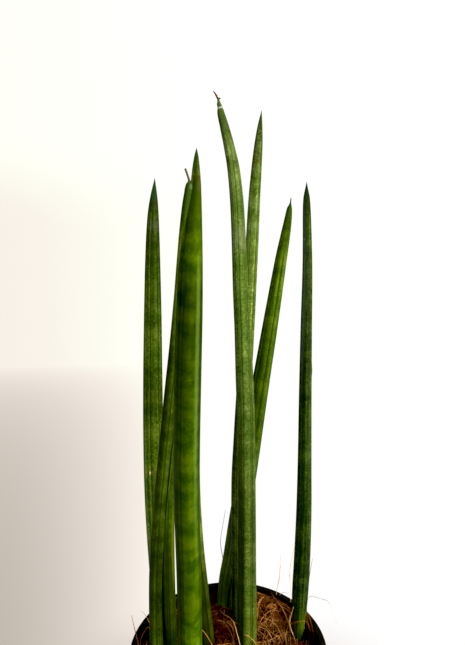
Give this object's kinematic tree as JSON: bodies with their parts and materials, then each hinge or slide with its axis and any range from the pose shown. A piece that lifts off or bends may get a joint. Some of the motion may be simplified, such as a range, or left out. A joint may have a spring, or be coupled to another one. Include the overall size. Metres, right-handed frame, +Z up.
{
  "type": "potted cylindrical snake plant",
  "caption": "Succulent with upright round, furrowed, pointed leaves standing in coconut fibre in a tapered round black plastic nursery pot.",
  "frame": {"origin": "centre of the pot's flat underside", "axes": "+Z up along the pot's axis, -Y towards the side that the picture was taken from, +X to the right in it"},
  "size_m": [0.12, 0.1546, 0.4456],
  "materials": {
    "leaf": "satin",
    "coir": "matte",
    "pot": "satin"
  },
  "bodies": {
    "root": {"leaf_left_back": "leaf", "leaf_left_side": "leaf", "leaf_left_short": "leaf", "leaf_left_front": "leaf", "leaf_left_tall": "leaf", "leaf_middle_tall": "leaf", "leaf_middle_back": "leaf", "leaf_right_leaning": "leaf", "leaf_right_edge": "leaf", "coir_bed": "coir", "nursery_pot": "pot"}
  },
  "joints": []
}
